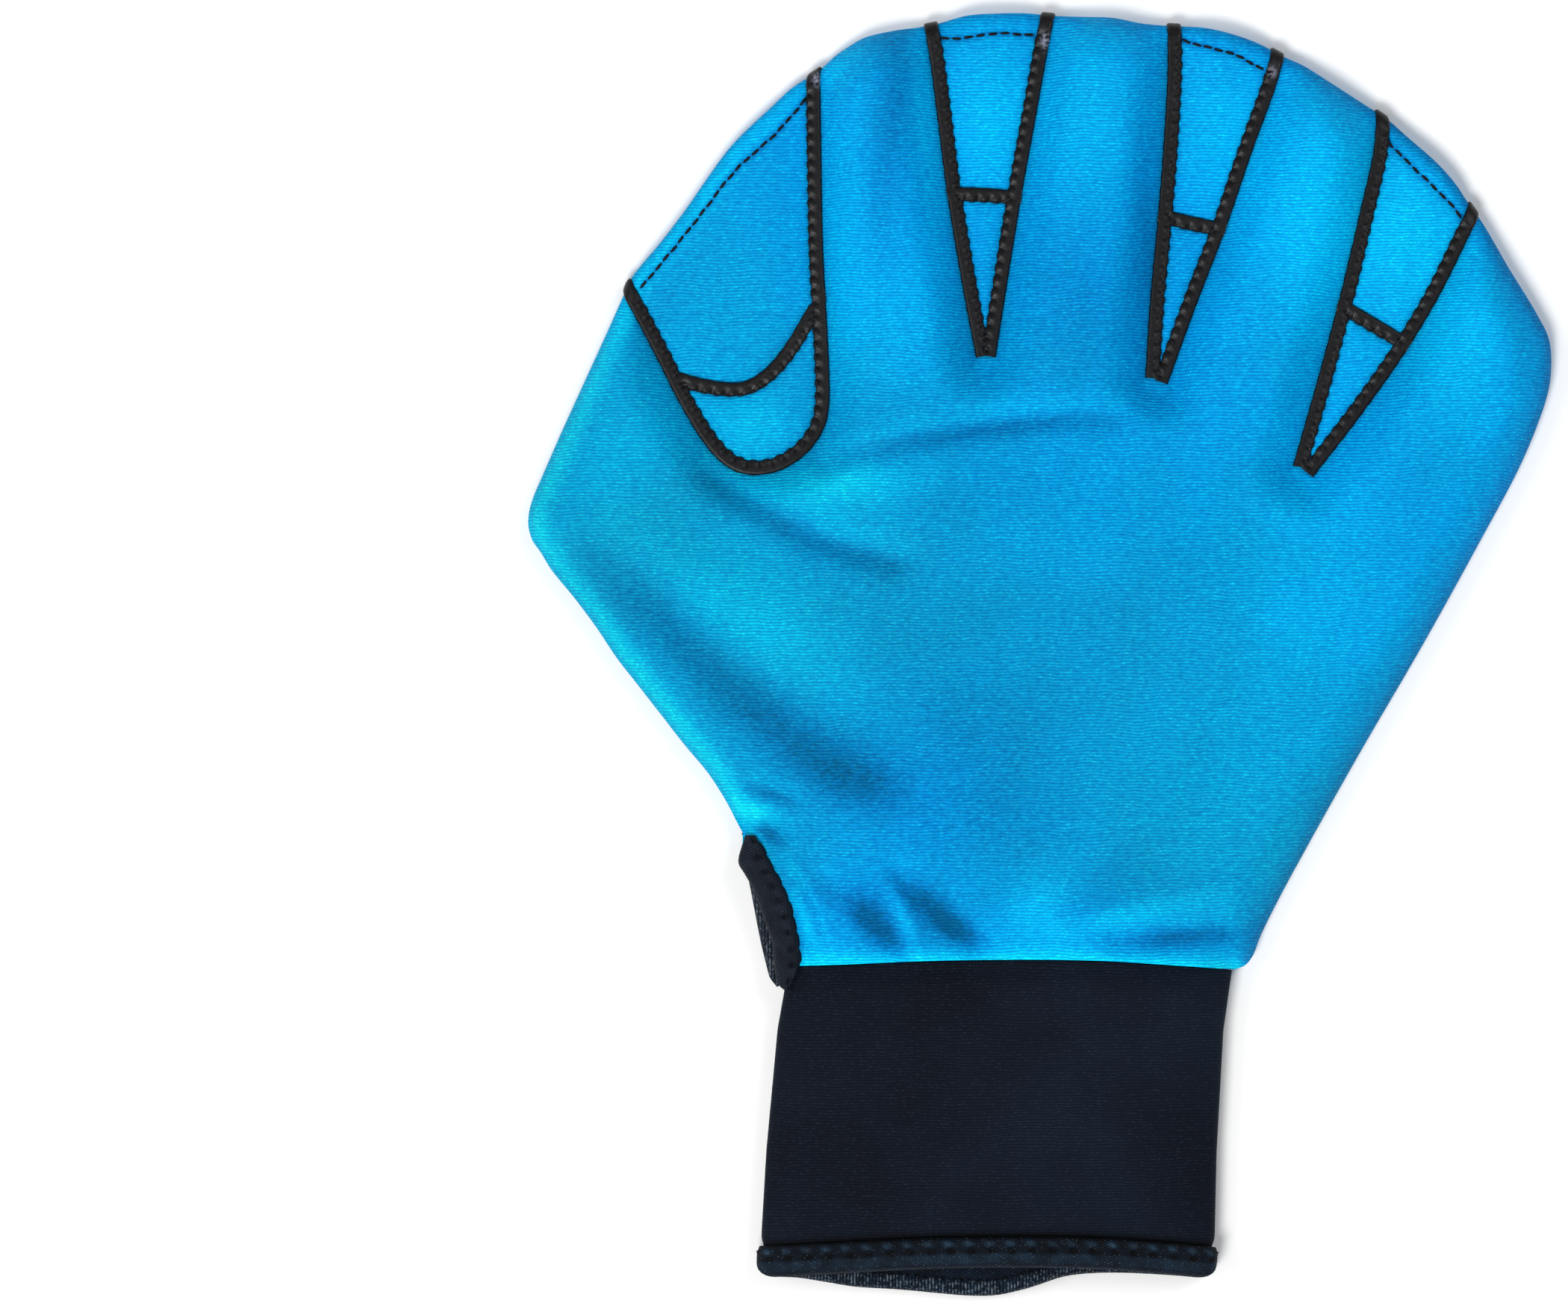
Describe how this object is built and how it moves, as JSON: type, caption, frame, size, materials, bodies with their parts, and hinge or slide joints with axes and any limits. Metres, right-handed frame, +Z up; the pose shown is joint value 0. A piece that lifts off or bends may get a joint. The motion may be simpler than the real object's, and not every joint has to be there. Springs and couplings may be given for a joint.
{
  "type": "neoprene webbed glove",
  "caption": "Webbed swim glove of blue foam cloth with black bonded tapes round the finger webs, a black wrist cuff with a bound hem and a bound slit at the thumb side, lying flat.",
  "frame": {"origin": "middle of the box of the whole glove, at the surface that it lies on", "axes": "+Y from the cuff to the fingertips, +X across the hand away from the thumb, +Z up from the surface that the rear layer lies on"},
  "size_m": [0.207, 0.259, 0.0152],
  "materials": {
    "foam_cloth": "satin knit face on foam",
    "bonded_tape": "semi-gloss black tape",
    "cuff_cloth": "matt black knit on foam",
    "twill_binding": "navy twill tape"
  },
  "bodies": {
    "root": {"front_panel": "foam_cloth", "rear_panel": "foam_cloth", "thumb_web_tape_front": "bonded_tape", "index_web_tape_front": "bonded_tape", "middle_web_tape_front": "bonded_tape", "ring_web_tape_front": "bonded_tape", "thumb_web_tape_rear": "bonded_tape", "index_web_tape_rear": "bonded_tape", "middle_web_tape_rear": "bonded_tape", "ring_web_tape_rear": "bonded_tape", "wrist_cuff": "cuff_cloth", "cuff_binding": "twill_binding", "slit_binding_front": "twill_binding", "slit_binding_rear": "twill_binding"}
  },
  "joints": []
}
